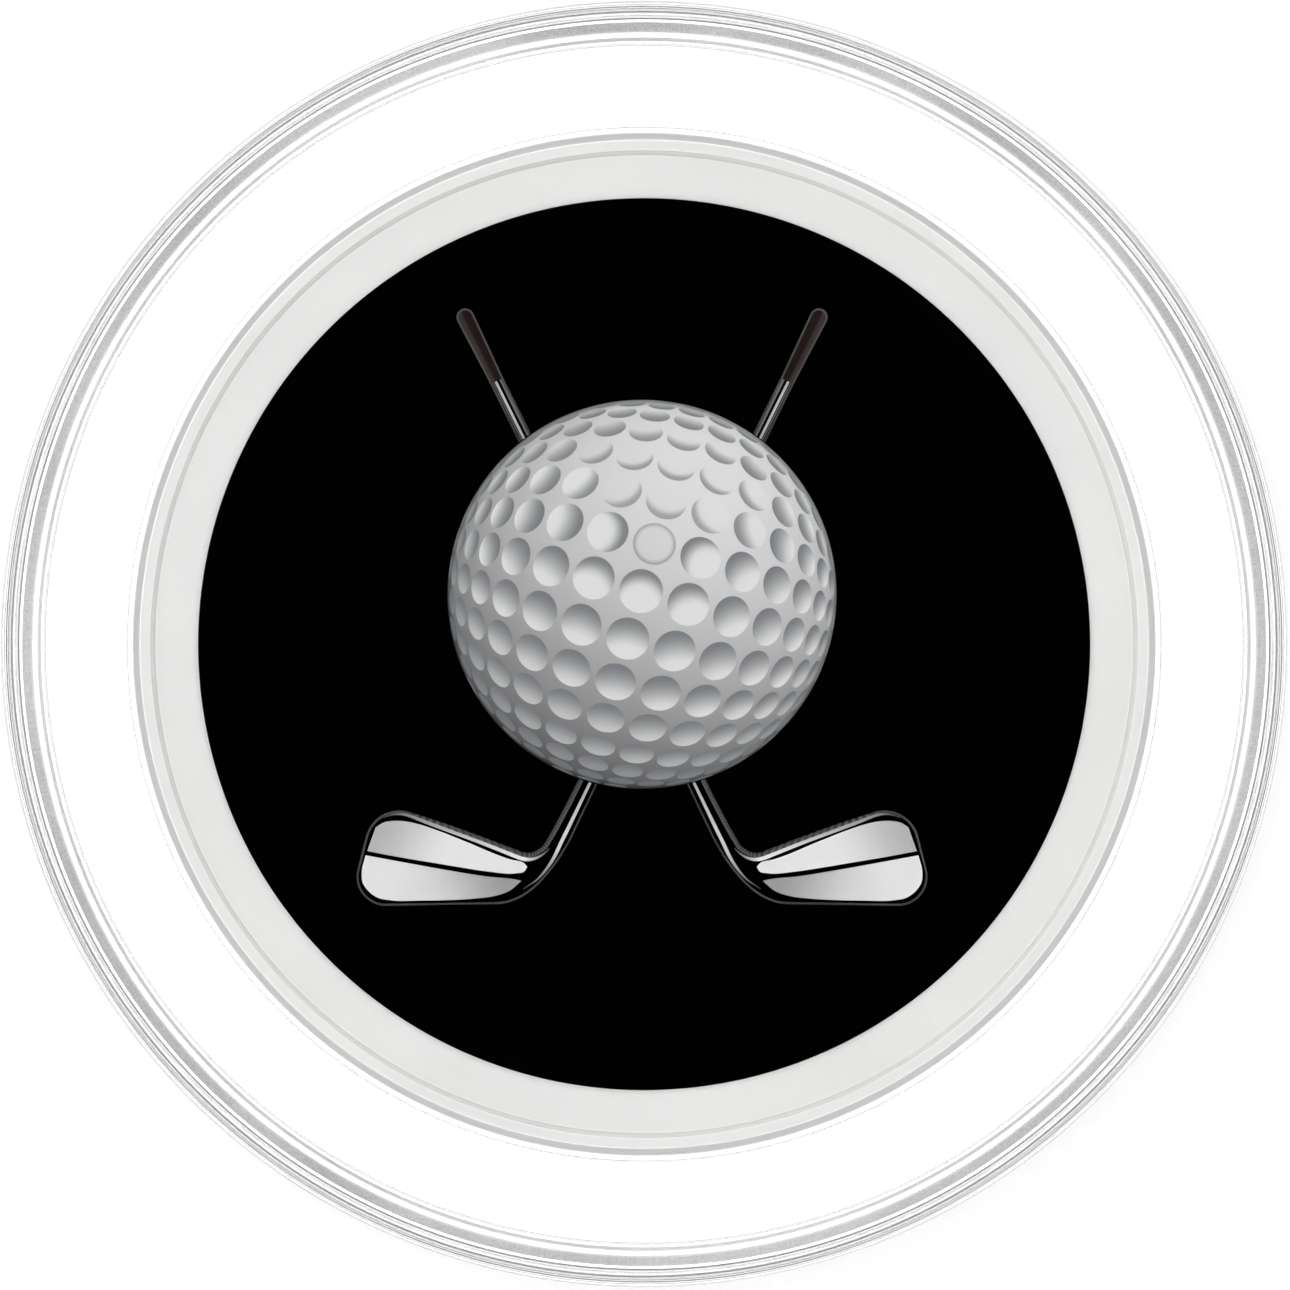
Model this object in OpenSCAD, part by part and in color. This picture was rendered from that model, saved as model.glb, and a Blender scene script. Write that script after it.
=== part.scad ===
// Golf ball marker lying in a clear two-shell coin capsule.
// The marker is a struck metal disc with a raised rim on both faces. A round printed label is
// stuck into its upper face. The capsule's two shells push together: the skirt of the lid slides
// down over the skirt of the base, and the flanges of both close round the edge of the marker.
// The origin is the centre of the foot ring that the capsule stands on, and +Z points out of
// the printed face. +Y is the top of the printed motif.

/* [Marker] */
// Diameter of the metal marker
marker_d = 24; // [20:0.1:32]
// Thickness of the marker across its two raised rims
marker_t = 2; // [1.6:0.05:4]
// Width of the raised rim at its top, with its outer bevel
rim_w = 0.43; // [0.3:0.01:0.8]
// Width that the sloping inner side of the raised rim takes up
rim_slope_w = 0.09; // [0.02:0.01:0.2]
// Height of the raised rim above the sunk field
rim_h = 0.35; // [0.3:0.01:0.5]
// Bevel on the outer corners of the marker
edge_bevel = 0.17; // [0.05:0.01:0.25]

/* [Label] */
// Ring of bare metal between the label and the raised rim
label_margin = 1.02; // [0.3:0.01:2]
// How far the adhesive stops short of the edge of the film
adhesive_inset = 0.08; // [0.02:0.01:0.3]
// Thickness of the adhesive
adhesive_t = 0.05; // [0.03:0.01:0.08]
// Thickness of the film
film_t = 0.12; // [0.05:0.01:0.15]
// Thickness of one printed layer of ink
ink_t = 0.03; // [0.02:0.005:0.05]

/* [Printed motif] */
// Black left between the motif and the edge of the label
motif_margin = 1.54; // [0.5:0.01:4]
// How far the motif is printed to the left of the label's centre
motif_shift = 0.05; // [0:0.01:0.2]
// Diameter of the ball, as drawn
ball_d = 9.11; // [7:0.01:10]
// Height of the ball's centre above the centre of the motif, as drawn
ball_y = 1.17; // [0.5:0.01:1.5]
// Black gap between the ball and the shafts that run behind it, as drawn
ball_gap = 0.02; // [0.01:0.01:0.1]
// Lean of each shaft away from upright
shaft_lean = 26.3; // [24:0.1:29]
// Height of the point where the shafts cross, as drawn
cross_y = -0.72; // [-1:0.01:-0.5]
// Distance from the crossing to the round end of the grip, as drawn
grip_reach = 9.35; // [8.8:0.01:9.8]
// Length of the grip, as drawn
grip_len = 1.67; // [1:0.01:2]
// Width of the grip at its round end, as drawn
grip_w = 0.41; // [0.36:0.01:0.5]
// Width of the shaft, as drawn
shaft_w = 0.33; // [0.25:0.01:0.35]
// Width of the hosel where it runs into the blade, as drawn
hosel_w = 0.44; // [0.4:0.01:0.5]
// Distance from the crossing down to the start of the heel, as drawn
heel_reach = 4.2; // [4:0.01:4.4]
// Distance from the crossing down to the corner between hosel and top edge, as drawn
crotch_reach = 4.62; // [4.5:0.01:4.7]

/* [Capsule] */
// Play between the edge of the marker and the wall of its recess
recess_gap = 0.15; // [0.05:0.01:0.4]
// Play between the top of the marker and the window of the lid
head_gap = 0.2; // [0.1:0.01:0.5]
// Thickness of the flat window in each shell
window_t = 1; // [0.6:0.05:1.6]
// Height of the foot ring that keeps the window off the table
foot_h = 0.3; // [0.1:0.01:0.5]
// Width of the clear flange outside the recess
flange_w = 1.97; // [1:0.01:4]
// Gap between the flanges of the two shells
flange_gap = 0.1; // [0.05:0.01:0.2]
// Width that the sloping inner side of the foot ring takes up
foot_slope_w = 0.22; // [0.1:0.01:0.3]
// Radius of the rounded outer edge of each shell
shoulder_r = 0.32; // [0.1:0.01:0.4]

/* [Push fit] */
// Thickness of the skirt on the base
base_skirt_t = 0.53; // [0.4:0.01:1]
// Thickness of the skirt on the lid
lid_skirt_t = 0.35; // [0.25:0.01:0.8]
// Radial play between the two skirts
skirt_gap = 0.07; // [0.03:0.01:0.15]
// Play above the end of the base's skirt in the lid's groove
skirt_end_gap = 0.1; // [0.05:0.01:0.3]
// Thickness of the lid over that groove, from the top of its rim
roof_t = 1; // [0.7:0.05:1.1]
// Height of the ledge on the base that the lid's skirt closes on
ledge_h = 1.5; // [1:0.05:1.7]
// Bevel on the two edges that meet at the seam
seam_bevel = 0.06; // [0.02:0.01:0.1]
// Bevel on the outer edge of the base's skirt, which leads it into the lid
lead_bevel = 0.07; // [0.05:0.01:0.1]
// Slope on the inner edge of the base's skirt
skirt_slope = 0.22; // [0.1:0.01:0.25]

/* [Hidden] */
$fn = 128;

// Overshoot of the shapes that are cut away
cut = 0.2;
// Number of steps in a drawn arc or bend
steps = 12;

// Radii, from the marker outwards
marker_r = marker_d / 2;
rim_top_r = marker_r - rim_w;
field_r = rim_top_r - rim_slope_w;
label_r = field_r - label_margin;
recess_r = marker_r + recess_gap;
flange_r = recess_r + flange_w;
base_skirt_r = flange_r + base_skirt_t;
groove_r = base_skirt_r + skirt_gap;
capsule_r = groove_r + lid_skirt_t;

// Heights, from the table upwards
seat_z = foot_h + window_t;
marker_top_z = seat_z + marker_t;
field_z = marker_top_z - rim_h;
film_z = field_z + adhesive_t;
ground_z = film_z + film_t;
motif_z = ground_z + ink_t;
lid_window_z = marker_top_z + head_gap;
capsule_h = lid_window_z + window_t + foot_h;
flange_h = capsule_h / 2 - flange_gap / 2;
base_skirt_h = capsule_h - roof_t - skirt_end_gap;
lid_skirt_h = capsule_h - ledge_h;

// Blade of an iron, as drawn with its toe to the left: two round corners of the toe, the end
// of the sole, the corner that the heel bends round, the end of the top edge, and the corner
// between the top edge and the hosel
toe_high = [-5.68, -4.72];
toe_high_r = 0.82;
toe_low = [-6.01, -5.45];
toe_low_r = 0.68;
sole_end = [-3.4, -6.09];
heel_corner = [-2.48, -6.06];
top_end = [-2.86, -4.95];
crotch = [-2.53, -5.07];

// Drawn size of the whole motif, and the scale that fits it to the label
motif_reach = max(norm(toe_low) + toe_low_r, norm(on_shaft(grip_reach, 0)) + grip_w / 2);
motif_scale = (label_r - motif_margin) / motif_reach;

// Point at distance s up the shaft from the crossing and w to the right of its centre line
function on_shaft(s, w) =
    [s * sin(shaft_lean) + w * cos(shaft_lean), cross_y + s * cos(shaft_lean) - w * sin(shaft_lean)];

// Direction from a circle's centre to where a line through point p touches it, on the left of
// the line from the centre to p (side = 1) or on its right (side = -1)
function touch_angle(centre, radius, p, side) =
    atan2(p.y - centre.y, p.x - centre.x) + side * acos(radius / norm(p - centre));

// Direction from the centres of two circles to their common outer tangent, on the left of the
// line from the first to the second
function tangent_angle(c1, r1, c2, r2) =
    atan2(c2.y - c1.y, c2.x - c1.x) + acos((r1 - r2) / norm(c2 - c1));

// Arc about a centre, from one angle to another
function arc(centre, radius, from, to) =
    [for (i = [0:steps]) let (a = from + (to - from) * i / steps) centre + radius * [cos(a), sin(a)]];

// Bend from p to q that leaves and arrives along the lines through their shared corner
function bend(p, corner, q) =
    [for (i = [0:steps]) let (t = i / steps)
        (1 - t) * (1 - t) * p + 2 * t * (1 - t) * corner + t * t * q];

// Outline of one iron: round the end of the grip, down the shaft, round the heel, along the
// sole, round the toe, back along the top edge and up the other side
function iron_outline() = let (
    sole_angle = touch_angle(toe_low, toe_low_r, sole_end, -1) + 360,
    toe_angle = tangent_angle(toe_low, toe_low_r, toe_high, toe_high_r),
    top_angle = touch_angle(toe_high, toe_high_r, top_end, 1)
) concat(
    arc(on_shaft(grip_reach, 0), grip_w / 2, 180 - shaft_lean, -shaft_lean),
    [on_shaft(grip_reach - grip_len, shaft_w / 2)],
    bend(on_shaft(-heel_reach, hosel_w / 2), heel_corner, sole_end),
    arc(toe_low, toe_low_r, sole_angle, toe_angle),
    arc(toe_high, toe_high_r, toe_angle, top_angle),
    bend(top_end, crotch, on_shaft(-crotch_reach, -hosel_w / 2)),
    [on_shaft(grip_reach - grip_len, -shaft_w / 2)]
);

// Rectangle in a turned section, from one radius and height to another
module band(r0, r1, z0, z1) {
    translate([r0, z0])
        square([r1 - r0, z1 - z0]);
}

// Triangle in a turned section that bevels a corner, its legs running by dr and dz
module corner_cut(r, z, dr, dz) {
    polygon([[r, z], [r + dr, z], [r, z + dz]]);
}

// Flat disc of a label layer
module layer(radius, z, thickness) {
    translate([0, 0, z])
        cylinder(r = radius, h = thickness);
}

// Section shared by both shells, with the outer face at z = 0: the window, the flange round the
// recess, and the raised ring with its sloping inside and rounded outside
module shell_section(flange_edge_r, ring_h) {
    band(0, flange_edge_r, foot_h, seat_z);
    band(recess_r, flange_edge_r, foot_h, flange_h);
    difference() {
        band(flange_edge_r, capsule_r, 0, ring_h);
        polygon([[flange_edge_r - cut, -cut], [flange_r + foot_slope_w, -cut],
                 [flange_r + foot_slope_w, 0], [flange_r, foot_h], [flange_edge_r - cut, foot_h]]);
        difference() {
            band(capsule_r - shoulder_r, capsule_r + cut, -cut, shoulder_r);
            translate([capsule_r - shoulder_r, shoulder_r])
                circle(r = shoulder_r);
        }
    }
}

// Lower shell, with the skirt that the lid slides over
module capsule_base() {
    color([0.9, 0.93, 0.95, 0.35])
        rotate_extrude()
            difference() {
                union() {
                    shell_section(flange_r, ledge_h);
                    band(flange_r, base_skirt_r, foot_h, base_skirt_h);
                }
                corner_cut(capsule_r, ledge_h, -seam_bevel, -seam_bevel);
                corner_cut(base_skirt_r, base_skirt_h, -lead_bevel, -lead_bevel);
                corner_cut(flange_r, base_skirt_h, skirt_slope, -skirt_slope);
            }
}

// Upper shell, drawn with its outer face down and then turned over
module capsule_lid() {
    color([0.93, 0.96, 0.98, 0.35])
        rotate_extrude()
            translate([0, capsule_h])
                mirror([0, 1])
                    difference() {
                        union() {
                            shell_section(flange_r - skirt_gap, roof_t);
                            band(groove_r, capsule_r, shoulder_r, lid_skirt_h);
                        }
                        corner_cut(capsule_r, lid_skirt_h, -seam_bevel, -seam_bevel);
                        corner_cut(groove_r, lid_skirt_h, seam_bevel, -seam_bevel);
                    }
}

// Metal marker: a disc with a sunk field and a raised rim on both faces
module marker_coin() {
    color("silver")
        translate([0, 0, seat_z])
            rotate_extrude()
                difference() {
                    band(0, marker_r, 0, marker_t);
                    for (face = [[0, 1], [marker_t, -1]]) {
                        polygon([[-cut, face[0] - cut * face[1]], [rim_top_r, face[0] - cut * face[1]],
                                 [rim_top_r, face[0]], [field_r, face[0] + rim_h * face[1]],
                                 [-cut, face[0] + rim_h * face[1]]]);
                        corner_cut(marker_r, face[0], -edge_bevel, edge_bevel * face[1]);
                    }
                }
}

// Clear adhesive between the sunk field and the film
module label_adhesive() {
    color("lightyellow")
        layer(label_r - adhesive_inset, field_z, adhesive_t);
}

// White film that carries the print
module label_film() {
    color("white")
        layer(label_r, film_z, film_t);
}

// Black ink over the whole of the film
module print_ground() {
    color("black")
        layer(label_r, ground_z, ink_t);
}

// Places a drawn motif on the black ink and gives it the thickness of one layer
module on_label() {
    translate([-motif_shift, 0, motif_z])
        linear_extrude(ink_t)
            scale([motif_scale, motif_scale])
                children();
}

// Ball at the middle of the motif
module print_ball() {
    color("gainsboro")
        on_label()
            translate([0, ball_y])
                circle(d = ball_d);
}

// Iron with its blade to the left, broken where its shaft runs behind the ball
module iron() {
    difference() {
        polygon(iron_outline());
        translate([0, ball_y])
            circle(d = ball_d + 2 * ball_gap);
    }
}

// Iron with its blade at the left and its grip at the right
module print_iron_left() {
    color("lightgray")
        on_label()
            iron();
}

// Iron with its blade at the right and its grip at the left
module print_iron_right() {
    color("lightgray")
        on_label()
            mirror([1, 0])
                iron();
}

capsule_base();
marker_coin();
label_adhesive();
label_film();
print_ground();
print_ball();
print_iron_left();
print_iron_right();
capsule_lid();
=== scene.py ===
import bmesh
import bpy
import numpy as np
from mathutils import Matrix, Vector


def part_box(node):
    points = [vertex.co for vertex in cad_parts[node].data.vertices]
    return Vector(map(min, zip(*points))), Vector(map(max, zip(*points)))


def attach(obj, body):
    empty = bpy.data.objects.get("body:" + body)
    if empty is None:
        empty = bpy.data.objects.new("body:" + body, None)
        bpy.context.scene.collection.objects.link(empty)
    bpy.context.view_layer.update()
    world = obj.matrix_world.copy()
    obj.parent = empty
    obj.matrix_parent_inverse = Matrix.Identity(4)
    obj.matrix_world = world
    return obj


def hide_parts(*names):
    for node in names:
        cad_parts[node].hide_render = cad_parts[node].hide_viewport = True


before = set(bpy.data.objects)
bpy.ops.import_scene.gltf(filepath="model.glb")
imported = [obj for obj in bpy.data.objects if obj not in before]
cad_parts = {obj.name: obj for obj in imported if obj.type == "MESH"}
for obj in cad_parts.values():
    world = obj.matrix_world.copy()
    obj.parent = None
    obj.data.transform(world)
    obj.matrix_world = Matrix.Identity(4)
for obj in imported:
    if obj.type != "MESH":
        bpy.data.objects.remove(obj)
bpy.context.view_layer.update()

# Lower shell of the capsule: one injection moulding in clear acrylic, with a polished window.
# It stands on a low foot ring, holds the marker in a round recess, and carries the tall skirt
# that the lid is pushed over.

MM = 0.001


def edges(node):
    """Radius, lowest and highest point of a round node, in mm."""
    low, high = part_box(node)
    return (high.x - low.x) / 2 / MM, low.z / MM, high.z / MM


capsule_r, _, base_skirt_top = edges("capsule_base")
marker_r, seat_z, marker_top = edges("marker_coin")
_, ledge_z, capsule_top = edges("capsule_lid")

recess_r = marker_r + 0.15
flange_r = recess_r + 1.97
base_skirt_r = flange_r + 0.53
groove_r = base_skirt_r + 0.07
foot_h = 0.3
foot_slope = 0.22
shoulder_r = 0.32
flange_gap = 0.1
lead_bevel = 0.07
skirt_slope = 0.22
seam_bevel = 0.06
contact_gap = 0.005
soft_edge = 0.05
crisp_edge = 0.02


def rounded(corners, steps=7):
    """Section of a turned piece from its corners (r, z, size), in mm. Each corner gives way to the arc
    ((1-t)^2 a + 2t(1-t)w c + t^2 b) / ((1-t)^2 + 2t(1-t)w + t^2), where c is the corner, a and b lie on
    its two sides at the distance size, and w is the sine of half the angle between them. One more point
    beyond each end of the arc keeps the straight sides flat in smooth shading."""
    corners = np.array(corners, float)
    c, size = corners[1:-1, :2], corners[1:-1, 2:]
    back, ahead = corners[:-2, :2] - c, corners[2:, :2] - c
    back_l = np.linalg.norm(back, axis=1, keepdims=True)
    ahead_l = np.linalg.norm(ahead, axis=1, keepdims=True)
    shorter = np.minimum(back_l, ahead_l)
    back, ahead, size = back / back_l, ahead / ahead_l, np.minimum(size, 0.45 * shorter)
    beyond = size + np.minimum(0.01, 0.04 * shorter)
    w = np.sqrt((1 - np.sum(back * ahead, axis=1, keepdims=True)) / 2)[:, None]
    a, b, c3 = (c + back * size)[:, None], (c + ahead * size)[:, None], c[:, None]
    t = np.linspace(0, 1, steps)[None, :, None]
    share_a, share_c, share_b = (1 - t) ** 2, 2 * t * (1 - t) * w, t**2
    arcs = (share_a * a + share_c * c3 + share_b * b) / (share_a + share_c + share_b)
    inner = np.concatenate([(c + back * beyond)[:, None], arcs, (c + ahead * beyond)[:, None]], axis=1)
    return np.vstack([corners[:1, :2], inner.reshape(-1, 2), corners[-1:, :2]])


def turned(section, turns=320):
    """Grid of a turned piece: section point (r, z) stands at (r cos a, r sin a, z) for each angle a."""
    a = np.linspace(0, 2 * np.pi, turns, endpoint=False)
    r, z = section[:, :1], section[:, 1:]
    return np.stack([r * np.cos(a), r * np.sin(a), z + 0 * a], axis=-1)


def joined(grids, ring):
    """Vertices and four-sided faces of closed grids, in metres. Vertex (i, j) is joined to (i + 1, j), and to
    (i, j + 1) with the last column joined to the first; in a ring the last row is joined to the first too."""
    points, faces, start = [], [], 0
    for grid in grids:
        rows, columns = grid.shape[:2]
        i, j = np.meshgrid(np.arange(rows if ring else rows - 1), np.arange(columns), indexing="ij")
        down, across = (i + 1) % rows, (j + 1) % columns
        corners = [i * columns + j, down * columns + j, down * columns + across, i * columns + across]
        faces.append(np.stack(corners, axis=-1).reshape(-1, 4) + start)
        points.append(grid.reshape(-1, 3) * MM)
        start += rows * columns
    return np.vstack(points), np.vstack(faces)


def piece(name, grids, material, body, nodes=(), inks=None, ring=False, smooth=True):
    """Makes one mesh of closed grids, merges the points of each pole, and hangs it on its body."""
    points, faces = joined(grids, ring)
    mesh = bpy.data.meshes.new(name)
    mesh.from_pydata(points.tolist(), [], faces.tolist())
    if inks is not None:
        shade = np.vstack([ink.reshape(-1, 3) for ink in inks])
        layer = mesh.attributes.new("ink", "FLOAT_COLOR", "POINT")
        layer.data.foreach_set("color", np.hstack([shade, np.ones((len(shade), 1))]).ravel())
    work = bmesh.new()
    work.from_mesh(mesh)
    bmesh.ops.remove_doubles(work, verts=work.verts, dist=1e-7)
    bmesh.ops.recalc_face_normals(work, faces=work.faces)
    work.to_mesh(mesh)
    work.free()
    mesh.polygons.foreach_set("use_smooth", [smooth] * len(mesh.polygons))
    mesh.materials.append(material)
    made = bpy.data.objects.new(name, mesh)
    bpy.context.scene.collection.objects.link(made)
    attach(made, body)
    if nodes:
        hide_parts(*nodes)
    return made


class Wire:
    """One output in a node tree. Sums written with wires, such as 1 - a * b, add their Math nodes."""

    def __init__(self, tree, socket=None):
        self.tree, self.socket = tree, socket

    def add(self, kind, settings=None, inputs=None, output=0):
        """Adds a node: its settings first, then a value or a wire for each socket. Gives one output."""
        node = self.tree.nodes.new("ShaderNode" + kind)
        for key, value in (settings or {}).items():
            setattr(node, key, value)
        for key, value in (inputs or {}).items():
            if isinstance(value, Wire):
                self.tree.links.new(value.socket, node.inputs[key])
            else:
                node.inputs[key].default_value = value
        return Wire(self.tree, node.outputs[output] if node.outputs else None)

    def maths(self, operation, *values):
        return self.add("Math", {"operation": operation}, dict(enumerate(values)))

    def __add__(self, other):
        return self.maths("ADD", self, other)

    def __sub__(self, other):
        return self.maths("SUBTRACT", self, other)

    def __rsub__(self, other):
        return self.maths("SUBTRACT", other, self)

    def __mul__(self, other):
        return self.maths("MULTIPLY", self, other)

    __radd__, __rmul__ = __add__, __mul__

    def rise(self, start, end):
        """0 up to start, 1 from end on, and a smooth step between."""
        ends = {"Value": self, "From Min": start, "From Max": end}
        return self.add("MapRange", {"interpolation_type": "SMOOTHSTEP"}, ends)

    def noise(self, size, detail=2.0):
        """Noise from 0 to 1 over these coordinates, with patches of about size, in mm."""
        return self.add("TexNoise", {}, {"Vector": self, "Scale": 1 / (size * MM), "Detail": detail})

    def radius(self):
        """Distance of these coordinates from the vertical axis."""
        flat = self.add("VectorMath", {"operation": "MULTIPLY"}, {0: self, 1: (1, 1, 0)})
        return flat.add("VectorMath", {"operation": "LENGTH"}, {0: flat}, "Value")

    def between(self, dark, light):
        """Colour that goes from dark to light as this value goes from 0 to 1."""
        ends = {0: self, 6: (*dark, 1), 7: (*light, 1)}
        return self.add("Mix", {"data_type": "RGBA"}, ends, 2)

    def relief(self, depth):
        """Normal of a surface that this value, from 0 to 1, lifts by up to depth, in mm."""
        return self.add("Bump", {}, {"Height": self, "Distance": depth * MM})


def material(name, sockets):
    """Material of one Principled shader, whose sockets are worked out from the Object coordinates."""
    made = bpy.data.materials.new(name)
    made.use_nodes = True
    made.node_tree.nodes.clear()
    place = Wire(made.node_tree).add("TexCoord", output="Object")
    shader = place.add("BsdfPrincipled", {}, sockets(place))
    place.add("OutputMaterial", {}, {"Surface": shader})
    return made


def polished_acrylic(place):
    """Clear acrylic, polished. Slow flow marks bend its surface a little outside the flange."""
    outside = place.radius().rise(flange_r * MM, base_skirt_r * MM)
    return {
        "Base Color": place.noise(6).between((0.985, 0.99, 0.99), (1, 1, 1)),
        "Roughness": 0.0,
        "IOR": 1.49,
        "Transmission Weight": 1.0,
        "Normal": (place.noise(2.5) * outside).relief(0.004),
    }


acrylic = material("clear_acrylic", polished_acrylic)

base_section = rounded([
    (0, seat_z, 0),
    (recess_r, seat_z, soft_edge),
    (recess_r, capsule_top / 2 - flange_gap / 2, soft_edge),
    (flange_r, capsule_top / 2 - flange_gap / 2, soft_edge),
    (flange_r, base_skirt_top - skirt_slope, soft_edge),
    (flange_r + skirt_slope, base_skirt_top, crisp_edge),
    (base_skirt_r - lead_bevel, base_skirt_top, crisp_edge),
    (base_skirt_r, base_skirt_top - lead_bevel, crisp_edge),
    (base_skirt_r, ledge_z, soft_edge),
    (capsule_r - seam_bevel, ledge_z, crisp_edge),
    (capsule_r, ledge_z - seam_bevel, crisp_edge),
    (capsule_r, 0, shoulder_r),
    (flange_r + foot_slope, 0, soft_edge),
    (flange_r, foot_h, soft_edge),
    (0, foot_h, 0),
])
piece("capsule_base", [turned(base_section)], acrylic, "base", ["capsule_base"])

# End face of the base's skirt. The mould was spark eroded there, so the face is frosted, and it
# shows through the lid as a grey ring. It is a skin a few micrometres thick on the acrylic.

frost_in = flange_r + skirt_slope
frost_out = base_skirt_r - lead_bevel
frost_skin = 0.008
deep_frost, thin_frost = (0.46,) * 3, (0.78,) * 3


def eroded_face(place):
    """Frosted acrylic: fine pits in a face whose depth of frost changes slowly round the ring."""
    pits, cloud = place.noise(0.05, 3.0), place.noise(5.0, 1.0)
    thinness = 0.5 * pits.rise(0.3, 0.7) + 0.5 * cloud.rise(0.3, 0.7)
    return {
        "Base Color": thinness.between(deep_frost, thin_frost),
        "Roughness": 0.7,
        "Specular IOR Level": 0.2,
        "Normal": pits.relief(0.004),
    }


frost_section = np.array([
    (frost_in, base_skirt_top),
    (frost_in, base_skirt_top + frost_skin),
    (frost_out, base_skirt_top + frost_skin),
    (frost_out, base_skirt_top),
])
frosted = material("eroded_acrylic", eroded_face)
piece("skirt_end_frost", [turned(frost_section)], frosted, "base", ring=True, smooth=False)

# Marker: a steel disc, struck with a raised rim round a sunk field on both faces, then plated
# with satin nickel. Its lower rim rests on the window of the lower shell.

rim_w = 0.43
rim_slope = 0.09
rim_h = 0.35
edge_bevel = 0.17
rim_top_r = marker_r - rim_w
field_r = rim_top_r - rim_slope
coin_foot = seat_z + contact_gap


def satin_nickel(place):
    """Satin plating: a fine even grain, over slow changes in how matt the plating came out."""
    grain, cloud = place.noise(0.03, 3.0), place.noise(3.0, 1.0)
    return {
        "Base Color": cloud.between((0.80, 0.80, 0.79), (0.84, 0.84, 0.83)),
        "Metallic": 1.0,
        "Roughness": 0.34 + grain * 0.12 + cloud * 0.04,
        "Normal": grain.relief(0.0012),
    }


coin_section = rounded([
    (0, marker_top - rim_h, 0),
    (field_r, marker_top - rim_h, 0.03),
    (rim_top_r, marker_top, 0.03),
    (marker_r - edge_bevel, marker_top, crisp_edge),
    (marker_r, marker_top - edge_bevel, soft_edge),
    (marker_r, coin_foot + edge_bevel, soft_edge),
    (marker_r - edge_bevel, coin_foot, crisp_edge),
    (rim_top_r, coin_foot, 0.03),
    (field_r, coin_foot + rim_h, 0.03),
    (0, coin_foot + rim_h, 0),
])
nickel = material("satin_nickel", satin_nickel)
piece("marker_coin", [turned(coin_section)], nickel, "marker", ["marker_coin"])

# Label: clear adhesive, white vinyl film and a flood of black ink, die-cut as one round sticker
# and pressed into the sunk field. The three layers are turned discs, one on top of the other.


def disc(node, edge):
    """Section of a flat round layer, as high and wide as its node, with its edges rounded."""
    r, low, high = edges(node)
    return rounded([(0, high, 0), (r, high, edge), (r, low, edge), (0, low, 0)])


def dried_adhesive(place):
    """Clear adhesive, a little yellow, with the streaks of the coating knife."""
    streaks = place.noise(0.4, 4.0)
    return {
        "Base Color": streaks.between((0.80, 0.77, 0.66), (0.90, 0.88, 0.80)),
        "Roughness": 0.4,
        "Normal": streaks.relief(0.002),
    }


def vinyl_film(place):
    """White vinyl, faintly dimpled like paper."""
    dimples = place.noise(0.2, 3.0)
    return {
        "Base Color": dimples.between((0.78, 0.78, 0.77), (0.86, 0.86, 0.86)),
        "Roughness": 0.45,
        "Normal": dimples.relief(0.002),
    }


def flood_black(place):
    """Dense black ink, drying to a fine matt grain that takes almost no light."""
    grain = place.noise(0.06, 3.0)
    return {
        "Base Color": grain.between((0.0001,) * 3, (0.0003,) * 3),
        "Roughness": 0.7,
        "Specular IOR Level": 0.005,
        "Normal": grain.relief(0.001),
    }


for node, edge, finish, slot in [
    ("label_adhesive", 0.01, dried_adhesive, "adhesive"),
    ("label_film", 0.015, vinyl_film, "white_film"),
    ("print_ground", 0.008, flood_black, "black_ink"),
]:
    piece(node, [turned(disc(node, edge))], material(finish.__name__, finish), "marker", [node])

# Ball of the printed motif: a disc of shaded grey ink on the black, with one darker dot of ink
# for each dimple. The dimples lie in square rows that were wrapped over the round ball.

ball_low, ball_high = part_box("print_ball")
ball_x = (ball_low.x + ball_high.x) / 2 / MM
ball_y = (ball_low.y + ball_high.y) / 2 / MM
ball_r = (ball_high.x - ball_low.x) / 2 / MM
ink_low, ink_high = ball_low.z / MM, ball_high.z / MM
dot_rise = 0.004
ink_yield = 1.0

row_turn = np.radians(-15.7)
row_step = 0.2595
dot_size = 0.114
shine = np.array([0.065, 0.266])
skin_base, skin_right, skin_up, skin_height, skin_white = 142, 28, 58, 63, 231
dimple_lit, dimple_white, dimple_dark = 70, 232, 130
shine_ring = 42


def ink_colour(tone):
    """Share of light that ink reflects for a tone from 0 to 255: ((tone / 255 + 0.055) / 1.055) ^ 2.4."""
    return ((np.clip(tone, 0, 255) / 255 + 0.055) / 1.055) ** 2.4 * ink_yield


def smooth_step(x, start, end):
    """0 up to start, 1 from end on, and 3u^2 - 2u^3 between."""
    u = np.clip((x - start) / (end - start), 0, 1)
    return u * u * (3 - 2 * u)


def ball_tone(x, y):
    """Tone of the ball's skin at a point given in radii: a base plus shares of x, y and the height of the
    sphere, up to the paper's white, and a little less at the rim."""
    height = np.sqrt(np.clip(1 - x * x - y * y, 0, 1))
    lit = np.minimum(skin_base + skin_right * x + skin_up * y + skin_height * height, skin_white)
    return lit * (1 - 0.35 * smooth_step(np.hypot(x, y), 0.965, 1.0))


def wrapped(g):
    """Where point g of the flat pattern lies on the ball: g / (1 + |g|^2 / 4), in radii."""
    return g / (1 + np.sum(g * g, axis=-1, keepdims=True) / 4)


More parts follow.
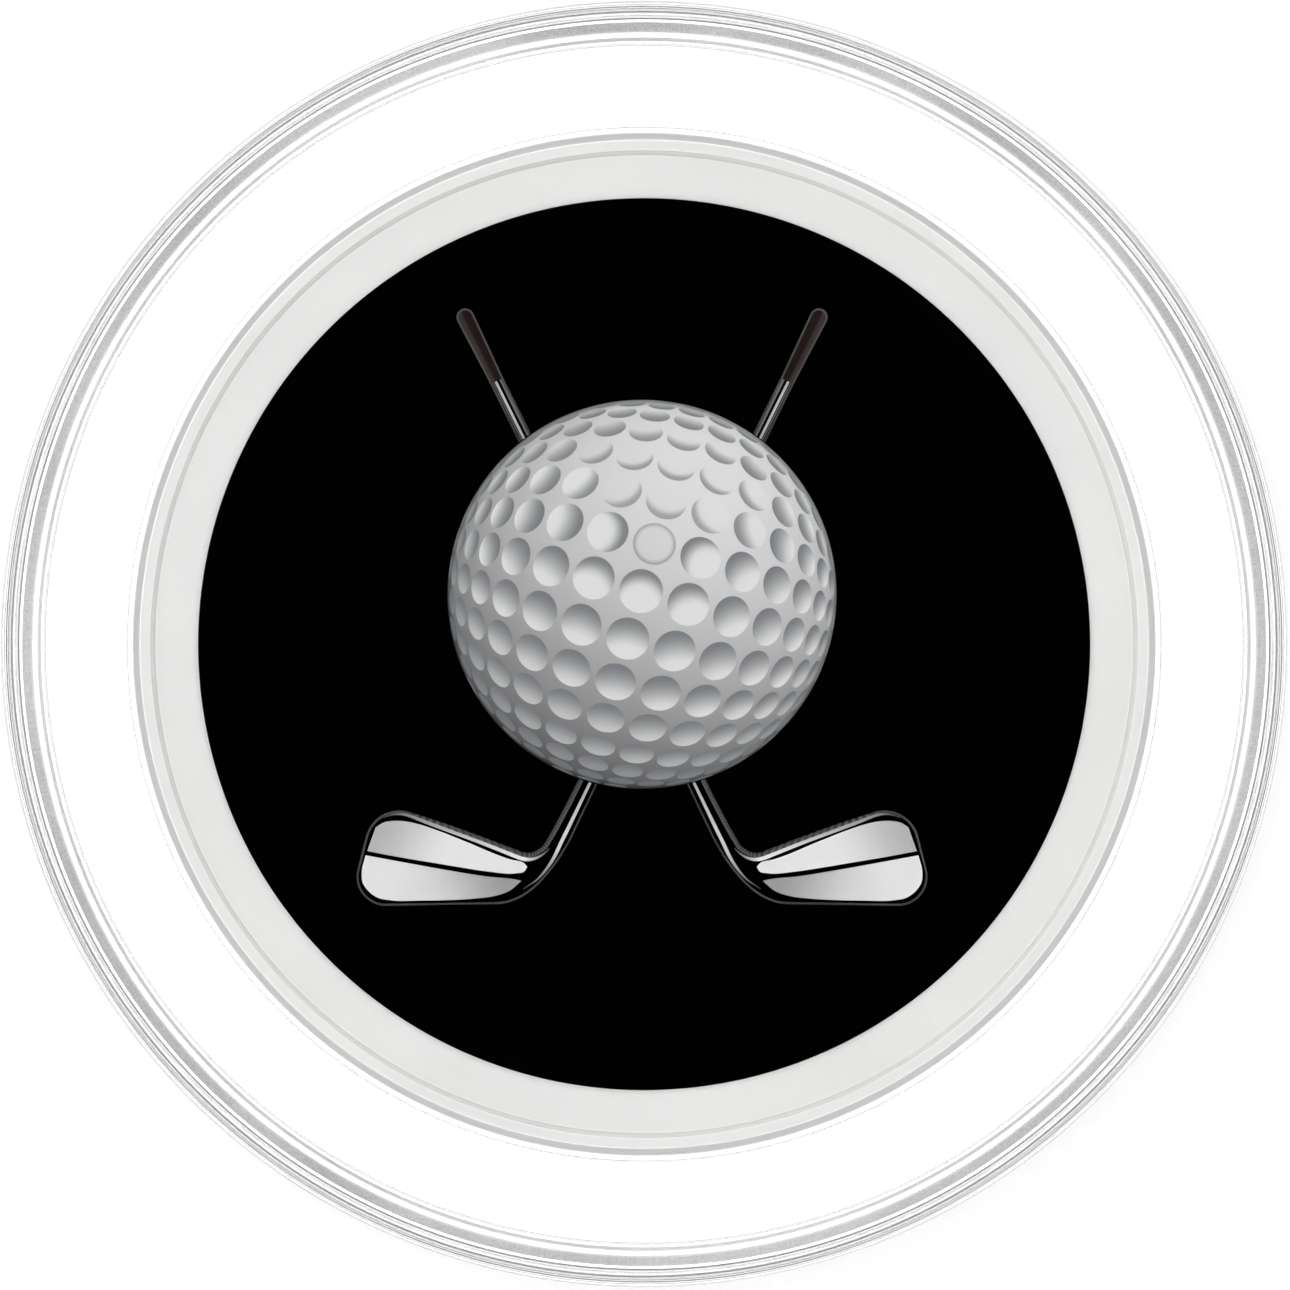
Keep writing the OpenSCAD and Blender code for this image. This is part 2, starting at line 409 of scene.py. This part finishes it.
def ball_disc(rings=90, spokes=180):
    """Grid of the disc and its tones: ring after ring from the middle of the top, then the lower face."""
    share = np.sin(np.linspace(0, np.pi / 2, rings))
    share = np.concatenate([share, [1, 0]])[:, None]
    z = np.concatenate([np.full(rings, ink_high - dot_rise), [ink_low, ink_low]])[:, None]
    a = np.linspace(0, 2 * np.pi, spokes, endpoint=False)
    x, y = share * np.cos(a), share * np.sin(a)
    grid = np.stack([ball_x + ball_r * x, ball_y + ball_r * y, z + 0 * x], axis=-1)
    return grid, ink_colour(ball_tone(x, y))[..., None] * np.ones(3)


def dimple_centres(reach=9):
    """Centres of the dimples in the flat pattern, counted along and across the rows from the shine."""
    along = row_step * np.array([np.cos(row_turn), np.sin(row_turn)])
    across = np.array([-along[1], along[0]])
    i, j = np.meshgrid(np.arange(-reach, reach + 1), np.arange(-reach, reach + 1))
    centres = shine + i[..., None] * along + j[..., None] * across
    centres = centres.reshape(-1, 2)
    return centres[np.linalg.norm(centres, axis=1) + dot_size < 1.97]


def dimple_tone(centre, offset, x, y):
    """Tone inside a dimple. Its side towards the shine lies in shade and its far side is lit. With c the
    place in the dimple and s the shaded side, both in radii, the shade follows |c + k s| - k. A small k,
    near the shine, makes it a crescent, and a large k an even slope."""
    away = np.linalg.norm(centre - shine, axis=-1)
    towards = (shine - centre) / np.maximum(away, 1e-6)[..., None]
    above = smooth_step(-towards[..., 1] - 0.25 * towards[..., 0], 0.1, 0.8)
    near = 1 - smooth_step(away, 0.25, 0.75)
    near_above = above * (1 - smooth_step(away, 0.65, 1.0))
    below = smooth_step(shine[1] - centre[..., 1], -0.15, 0.2)
    shaded_side = towards + 1.5 * below[..., None] * np.array([0, 1])
    shaded_side /= np.maximum(np.linalg.norm(shaded_side, axis=-1, keepdims=True), 1e-6)
    crescent = np.maximum(near, near_above)
    k = 2.5 - 1.9 * crescent
    t = np.linalg.norm(offset / dot_size + k[..., None] * shaded_side, axis=-1) - k
    start = -0.95 + 1.15 * near * (1 - above) + 1.4 * near_above
    end = 1.0 - 0.15 * crescent
    skin = ball_tone(x, y)
    limb = smooth_step(np.hypot(x, y), 0.86, 1.0)
    lit = np.minimum(skin + dimple_lit * (1 - above) * (1 - 0.6 * limb), dimple_white)
    dark = dimple_dark + 8 * near + 20 * near_above + 12 * above - 14 * limb
    tone = lit + (dark - lit) * smooth_step(t, start, end)
    edge = smooth_step(np.linalg.norm(offset, axis=-1) / dot_size, 0.8, 0.93)
    ring = skin - shine_ring * edge
    return np.where(away < 0.01, ring, tone)


def dimple_dots(spokes=26):
    """One grid for each dimple, and its tones: a circle of the flat pattern, wrapped over the ball."""
    share = np.array([0, 0.3, 0.55, 0.75, 0.86, 0.94, 1, 1, 0])[:, None]
    lift = np.array([1, 1, 1, 1, 1, 0.95, 0.6, 0, 0])[:, None]
    a = np.linspace(0, 2 * np.pi, spokes, endpoint=False)
    offset = dot_size * np.stack([share * np.cos(a), share * np.sin(a)], axis=-1)
    centre = dimple_centres()[:, None, None]
    flat = wrapped(centre + offset)
    x, y = flat[..., 0], flat[..., 1]
    z = ink_high - dot_rise + dot_rise * lift + 0 * x
    grids = np.stack([ball_x + ball_r * x, ball_y + ball_r * y, z], axis=-1)
    tone = dimple_tone(centre + 0 * offset, offset + 0 * centre, x, y)
    cool = smooth_step(205 - tone, 0, 60)[..., None] * np.array([-2.0, 0.0, 3.0])
    return grids, ink_colour(tone[..., None] + cool)


def printed_ink(place):
    """Screen ink in the shade held by the mesh, with the fine grain of the print."""
    grain = place.noise(0.035, 2.0)
    shade = place.add("Attribute", {"attribute_name": "ink"}, output="Color")
    grained = shade.add("VectorMath", {"operation": "SCALE"}, {0: shade, "Scale": 0.96 + grain * 0.08})
    return {
        "Base Color": grained,
        "Roughness": 0.6,
        "Specular IOR Level": 0.03,
        "Normal": grain.relief(0.0006),
    }


print_ink = material("printed_ink", printed_ink)
skin_grid, skin_ink = ball_disc()
dot_grids, dot_inks = dimple_dots()
piece("print_ball", [skin_grid], print_ink, "marker", ["print_ball"],
      inks=[skin_ink], smooth=False)
piece("print_dimples", dot_grids, print_ink, "marker", inks=dot_inks, smooth=False)

# The two crossed irons of the motif, drawn in strokes and panels of grey and white ink on the
# black. The left one has its blade at the left and its grip at the right; the other mirrors it.

drawn_ball_r = 4.555
drawn_ball = np.array([0, 1.17])
drawn_gap = 0.02
scale = ball_r / drawn_ball_r
lean = np.radians(26.3)
crossing = np.array([0, -0.72])
grip_reach = 9.35
grip_len = 1.67
grip_w = 0.41
shaft_w = 0.33
hosel_w = 0.44
heel_reach = 4.2
crotch_reach = 4.62
toe_high = np.array([-5.68, -4.72])
toe_high_r = 0.82
toe_low = np.array([-6.01, -5.45])
toe_low_r = 0.68
sole_end = np.array([-3.4, -6.09])
heel_corner = np.array([-2.48, -6.06])
top_end = np.array([-2.86, -4.95])
crotch = np.array([-2.53, -5.07])
hatch_step, hatch_swing = 0.09, 26
hatch_inner, hatch_fall = 94, 38


def on_shaft(s, w):
    """Point at distance s up the shaft from the crossing and w to the right of its centre line."""
    s, w = np.broadcast_arrays(np.asarray(s, float), w)
    up, right = np.array([np.sin(lean), np.cos(lean)]), np.array([np.cos(lean), -np.sin(lean)])
    return crossing + s[..., None] * up + w[..., None] * right


def arc(centre, radius, start, end, count=40):
    """Points centre + radius (cos a, sin a) for angles a from start to end."""
    a = np.linspace(start, end, count)[:, None]
    return centre + radius * np.hstack([np.cos(a), np.sin(a)])


def bend(p, corner, q, count=40):
    """Bend (1-t)^2 p + 2t(1-t) corner + t^2 q."""
    t = np.linspace(0, 1, count)[:, None]
    return (1 - t) ** 2 * p + 2 * t * (1 - t) * corner + t**2 * q


def touch_angle(centre, radius, p, side):
    """Direction from a circle's centre to where a line through p touches it."""
    d = p - centre
    return np.arctan2(d[1], d[0]) + side * np.arccos(radius / np.hypot(*d))


def travelled(path):
    """Distance along a path at each of its points."""
    return np.concatenate([[0], np.cumsum(np.linalg.norm(np.diff(path, axis=0), axis=1))])


def evenly(path, count):
    """Points at equal distances along a path."""
    d = travelled(path)
    s = np.linspace(0, d[-1], count)
    return np.stack([np.interp(s, d, path[:, 0]), np.interp(s, d, path[:, 1])], axis=-1)


def through(points, count=60):
    """Curve through a few points: on each stretch the cubic of the distance whose ends keep the slopes that
    np.gradient gives there."""
    points = np.array(points, float)
    d = travelled(points)
    slope = np.gradient(points, d, axis=0)
    s = np.linspace(0, d[-1], count)
    k = np.clip(np.searchsorted(d, s, side="right") - 1, 0, len(d) - 2)
    h = (d[k + 1] - d[k])[:, None]
    u = (s - d[k])[:, None] / h
    start = (2 * u**3 - 3 * u**2 + 1) * points[k] + (u**3 - 2 * u**2 + u) * h * slope[k]
    return start + (3 * u**2 - 2 * u**3) * points[k + 1] + (u**3 - u**2) * h * slope[k + 1]


def slab(right, left, tone, across=2):
    """Closed strip of ink between two curves, and its ink. Each row runs over the top from the right curve to
    the left one and back underneath, and the first and last row shrink to a point to close the ends. The tone
    is a function of the share across, the share along and the point."""
    v = np.linspace(0, 1, across)[None, :]
    u = np.linspace(0, 1, len(right))[:, None]
    top = right[:, None] + (left - right)[:, None] * v[..., None]
    shade = np.asarray(tone(v + 0 * u, u + 0 * v, top), float)
    shade = shade[..., None] * np.ones(3) if shade.ndim == 2 else shade
    flat = np.concatenate([top, top[:, -1:], top[:, :1]], axis=1)
    shade = np.concatenate([shade, shade[:, -1:], shade[:, :1]], axis=1)
    z = np.where(np.arange(across + 2) < across, ink_high - dot_rise, ink_low) + 0 * flat[..., 0]
    place = drawn_ball * scale
    grid = np.dstack([ball_x + (flat * scale - place)[..., 0], ball_y + (flat * scale - place)[..., 1], z])
    ends = [grid[:1].mean(axis=1, keepdims=True), grid[-1:].mean(axis=1, keepdims=True)]
    ends = [np.repeat(end, across + 2, axis=1) for end in ends]
    return np.vstack([ends[0], grid, ends[1]]), ink_colour(np.vstack([shade[:1], shade, shade[-1:]]))


def stroke(path, inset, width, tone, count=300):
    """Band of ink along the right of a path. Inset, width and tone each hold values at equal shares of its
    length. Tone may instead be a function, as for a slab."""
    path = evenly(path, count)
    along = np.gradient(path, axis=0)
    along /= np.linalg.norm(along, axis=1, keepdims=True)
    right = np.stack([along[:, 1], -along[:, 0]], axis=-1)
    share = np.linspace(0, 1, count)

    def held(values):
        values = np.atleast_1d(values).astype(float)
        return np.interp(share, np.linspace(0, 1, len(values)), values)[:, None]

    shade = tone if callable(tone) else lambda v, u, p: held(tone) + 0 * v
    near = path + right * held(inset)
    return slab(near + right * held(width), near, shade)


def iron_outline():
    """Outline of the iron, clockwise: round the grip, down the right of the shaft, round the heel, along the
    sole, round the toe, back along the top edge and up the left of the shaft."""
    between = toe_high - toe_low
    toe_angle = np.arctan2(between[1], between[0]) + np.arccos((toe_low_r - toe_high_r) / np.hypot(*between))
    sole_angle = touch_angle(toe_low, toe_low_r, sole_end, -1) + 2 * np.pi
    top_angle = touch_angle(toe_high, toe_high_r, top_end, 1)
    seam = grip_reach - grip_len
    return evenly(np.vstack([
        arc(on_shaft(grip_reach, 0), grip_w / 2, np.pi - lean, -lean),
        on_shaft(seam, shaft_w / 2),
        bend(on_shaft(-heel_reach, hosel_w / 2), heel_corner, sole_end),
        arc(toe_low, toe_low_r, sole_angle, toe_angle),
        arc(toe_high, toe_high_r, toe_angle, top_angle),
        bend(top_end, crotch, on_shaft(-crotch_reach, -hosel_w / 2)),
        on_shaft(seam, -shaft_w / 2),
        on_shaft(grip_reach, -grip_w / 2),
    ]), 4000)


def ball_side(w, side):
    """Distance up the shaft at which the line at w leaves the ball, at its upper (1) or lower (-1) side."""
    reach = drawn_ball - crossing
    along = reach[0] * np.sin(lean) + reach[1] * np.cos(lean)
    off = reach[0] * np.cos(lean) - reach[1] * np.sin(lean) - w
    return along + side * np.sqrt((drawn_ball_r + drawn_gap) ** 2 - off**2)


def shaft_line(w, bottom, top):
    """Straight line up the shaft at w."""
    return on_shaft(np.array([bottom, top]), w)


def blade():
    """Strokes and panels of the blade and hosel, below the ball."""
    path = iron_outline()
    outside = np.linalg.norm(path - drawn_ball, axis=1) > drawn_ball_r + drawn_gap
    path = path[outside & (path[:, 1] < 0)]
    far = np.argmin(path[:, 0])
    crown = far + np.argmin(np.abs(path[far:, 0] + 6.1))
    rise = far + np.argmin(np.abs(path[far:, 0] + 5.4))
    low = np.argmin(np.linalg.norm(path - crotch, axis=1))
    turn = low + np.argmin(np.abs(travelled(path[low:]) - 0.4))

    def hatched(v, u, point):
        """Slanting hatch: the tone swings once every hatch_step along the stroke."""
        across = point[..., 0] * np.cos(lean) + point[..., 1]
        return hatch_inner - hatch_fall * v + hatch_swing * np.sin(2 * np.pi * across / hatch_step)

    def upper_face(v, u, point):
        x, y = point[..., 0], point[..., 1]
        return 190 + 51 * smooth_step(x - 0.5 * y, -4.15, -2.0)

    def lower_face(v, u, point):
        x, y = point[..., 0], point[..., 1]
        return 238 - 12 * smooth_step(x, -6.0, -4.8) - 62 * smooth_step(x + 0.5 * y, -8.0, -5.8)

    shine_line = through([(-2.78, -5.73), (-2.47, -5.5), (-2.2, -5.16), *on_shaft([-4.3, -3.6], 0.0),
                          on_shaft(ball_side(0.0, -1), 0.0)])
    panel_top = through([(-6.24, -4.29), (-6.05, -4.18), (-5.84, -4.145), (-5.55, -4.155), (-5.28, -4.21),
                         (-4.79, -4.37), (-4.18, -4.61), (-3.07, -5.05), (-2.77, -5.13), (-2.69, -5.22)], 120)
    panel_foot = through([(-6.44, -4.85), (-5.7, -4.99), (-4.98, -5.11), (-4.2, -5.24), (-3.6, -5.33),
                          (-2.95, -5.37), (-2.76, -5.33), (-2.69, -5.22)], 120)
    lower_top = through([(-6.48, -4.95), (-5.5, -5.13), (-4.61, -5.29), (-3.6, -5.45), (-2.95, -5.52),
                         (-2.83, -5.55)], 120)
    lower_foot = through([(-6.48, -4.95), (-6.57, -5.35), (-6.55, -5.58), (-6.42, -5.78), (-6.2, -5.94),
                          (-5.88, -6.005), (-5.2, -6.01), (-4.6, -6.0), (-3.9, -5.96), (-3.5, -5.91),
                          (-3.11, -5.78), (-2.83, -5.55)], 120)
    return [
        stroke(path[:far], [0.025, 0.01, 0, 0, 0, 0], [0.035, 0.04, 0.045, 0.045],
               [65, 72, 85, 70, 75, 75]),
        stroke(path[far:rise], 0, [0.045, 0.05], [75, 85, 75]),
        stroke(path[rise:], [0, -0.045, -0.07, -0.085, -0.09, -0.09, -0.05, -0.035, -0.035],
               [0.05, 0.085, 0.1, 0.1, 0.1, 0.1, 0.11, 0.11, 0.11], hatched, 900),
        stroke(path[crown:turn], [0.06, 0.055, 0.045, 0.03, 0.017, 0.015, 0.015, 0.06],
               [0.02, 0.06, 0.078, 0.08, 0.08, 0.083, 0.09, 0.02],
               [70, 145, 172, 195, 213, 228, 246, 90], 500),
        stroke(shine_line, 0, [0.01, 0.05, 0.08, 0.08, 0.07, 0.06], [90, 150, 215, 215, 200, 180]),
        slab(panel_foot, panel_top, upper_face, 24),
        slab(lower_foot, lower_top, lower_face, 24),
    ]


def shaft_and_grip():
    """Strokes of the shaft and of its grip, above the ball."""
    seam = grip_reach - grip_len
    path = iron_outline()
    outside = np.linalg.norm(path - drawn_ball, axis=1) > drawn_ball_r + drawn_gap
    high = outside & (path[:, 1] > 0)
    last = high & (np.arange(len(path)) > len(path) // 2)
    path = np.vstack([path[last], path[high & ~last]])

    def rubber(v, u, point):
        """Dark brown rubber, a little paler and greyer along its right side."""
        paler = smooth_step(1 - v, 0.45, 0.8)[..., None]
        return np.array([34, 22, 22]) * (1 - paler) + np.array([60, 54, 52]) * paler

    rim = grip_w / 2 - 0.045
    half = np.linspace(0, np.pi / 2, 30)
    length = np.concatenate([np.linspace(seam, grip_reach, 60), grip_reach + rim * np.sin(half[1:])])
    width = np.concatenate([np.linspace(shaft_w / 2 - 0.04, rim, 60), rim * np.cos(half[1:])])
    return [
        stroke(path, 0, 0.042, [60, 78, 85, 88, 85, 78, 60]),
        slab(on_shaft(length, width), on_shaft(length, -width), rubber, 12),
        stroke(shaft_line(-0.12, ball_side(-0.12, 1), seam), 0, 0.055, [100, 112, 106]),
        stroke(shaft_line(0.0, ball_side(0.0, 1), seam), 0, 0.058, [175, 195, 190]),
        stroke(shaft_line(0.08, ball_side(0.08, 1), seam), 0, 0.03, [85, 95, 85]),
    ]


def mirrored(grid):
    """The grid mirrored in the upright line through the ball's centre, its columns turned round to match."""
    return (grid * np.array([-1, 1, 1]) + np.array([2 * ball_x, 0, 0]))[:, ::-1]


iron_grids, iron_inks = zip(*blade(), *shaft_and_grip())
piece("print_iron_left", iron_grids, print_ink, "marker", ["print_iron_left"],
      inks=iron_inks, smooth=False)
piece("print_iron_right", [mirrored(grid) for grid in iron_grids], print_ink, "marker",
      ["print_iron_right"], inks=[ink[:, ::-1] for ink in iron_inks], smooth=False)

# Upper shell of the capsule: the second acrylic moulding, pushed down over the base until its
# skirt closes on the ledge. A groove under its rim takes the end of the base's skirt.

lid_foot = ledge_z + contact_gap
roof_z = capsule_top - 1.0
window_z = marker_top + 0.2

lid_section = rounded([
    (0, capsule_top - foot_h, 0),
    (flange_r, capsule_top - foot_h, soft_edge),
    (flange_r + foot_slope, capsule_top, soft_edge),
    (capsule_r, capsule_top, shoulder_r),
    (capsule_r, lid_foot + seam_bevel, crisp_edge),
    (capsule_r - seam_bevel, lid_foot, crisp_edge),
    (groove_r + seam_bevel, lid_foot, crisp_edge),
    (groove_r, lid_foot + seam_bevel, crisp_edge),
    (groove_r, roof_z, soft_edge),
    (flange_r - 0.07, roof_z, soft_edge),
    (flange_r - 0.07, capsule_top / 2 + flange_gap / 2, soft_edge),
    (recess_r, capsule_top / 2 + flange_gap / 2, soft_edge),
    (recess_r, window_z, soft_edge),
    (0, window_z, 0),
])
piece("capsule_lid", [turned(lid_section)], acrylic, "lid", ["capsule_lid"])

# Plain white light table, lit from below, in an even studio: a bright tent all round, a little
# brighter at the upper left, with a black opening straight above for the camera. Light that has
# passed through acrylic is sampled poorly, so the shadow under the foot ring is painted.

table_size = 1.2
table_gap = 2e-5
lamp_r = 14.2
lamp_fade = 0.1
lamp_glow = 1.1
beyond_glow = 0.36
shadow_in, shadow_out = capsule_r - 0.07, capsule_r + 0.08
shaded_white, white_gain = 0.32, 0.2


def table_top(place):
    """White laminate with a faint grain. It glows over the round lamp, and more weakly beyond the capsule.
    Between the two, under the foot ring, it is painted darker and doesn't glow."""
    lamp = 1 - place.radius().rise(lamp_r * MM, (lamp_r + lamp_fade) * MM)
    beyond = place.radius().rise(shadow_in * MM, shadow_out * MM)
    white = shaded_white + place.noise(0.5, 3.0) * 0.03 + (lamp + beyond) * white_gain
    return {
        "Base Color": white.between((0,) * 3, (1,) * 3),
        "Roughness": 0.8,
        "Specular IOR Level": 0.1,
        "Emission Color": (lamp + beyond * beyond_glow).between((0, 0, 0), (1, 1, 1)),
        "Emission Strength": lamp_glow,
    }


half = table_size / 2
top = bpy.data.meshes.new("table")
top.from_pydata([(-half, -half, -table_gap), (half, -half, -table_gap), (half, half, -table_gap),
                 (-half, half, -table_gap)], [], [(0, 1, 2, 3)])
top.materials.append(material("white_table", table_top))
table = bpy.data.objects.new("table", top)
bpy.context.scene.collection.objects.link(table)

tent_light = 2.0
tent_lean = 0.12
opening = (np.cos(np.radians(13)), np.cos(np.radians(8)))
horizon_light, horizon_lean, horizon_top = 0.22, 0.07, 0.7

world = bpy.data.worlds.new("studio")
world.use_nodes = True
world.node_tree.nodes.clear()
bpy.context.scene.world = world
look = Wire(world.node_tree).add("TexCoord", output="Object")
look_x, look_y, look_z = (look.add("SeparateXYZ", {}, {0: look}, axis) for axis in "XYZ")
side_light = 1 - look_x * tent_lean + look_y * tent_lean
shut = look_z.rise(*opening)
horizon_dim = (look_x - look_y) * horizon_lean + horizon_light
low_light = look_z.rise(0.0, horizon_top) * (1 - horizon_dim) + horizon_dim
strength = side_light * (1 - shut) * low_light * tent_light
background = look.add("Background", {}, {"Color": (1, 1, 1, 1), "Strength": strength})
look.add("OutputWorld", {}, {"Surface": background})

# Camera straight above on a very long lens, so that the rims are seen without perspective.

half_frame = 15.14
lens, sensor = 1200, 36
aim = 0.02
camera_data = bpy.data.cameras.new("camera")
camera_data.sensor_width = sensor
camera_data.lens = lens
camera_data.clip_start = 0.1
camera_data.clip_end = 5
camera = bpy.data.objects.new("camera", camera_data)
camera_height = half_frame * lens / (sensor / 2) + capsule_top / 2
camera.location = (aim * MM, -aim * MM, camera_height * MM)
bpy.context.scene.collection.objects.link(camera)
bpy.context.scene.camera = camera

scene = bpy.context.scene
scene.view_settings.view_transform = "Standard"
scene.cycles.use_denoising = True
scene.cycles.max_bounces = 12
scene.cycles.transmission_bounces = 12
scene.cycles.glossy_bounces = 8
scene.cycles.caustics_refractive = True
scene.cycles.caustics_reflective = True
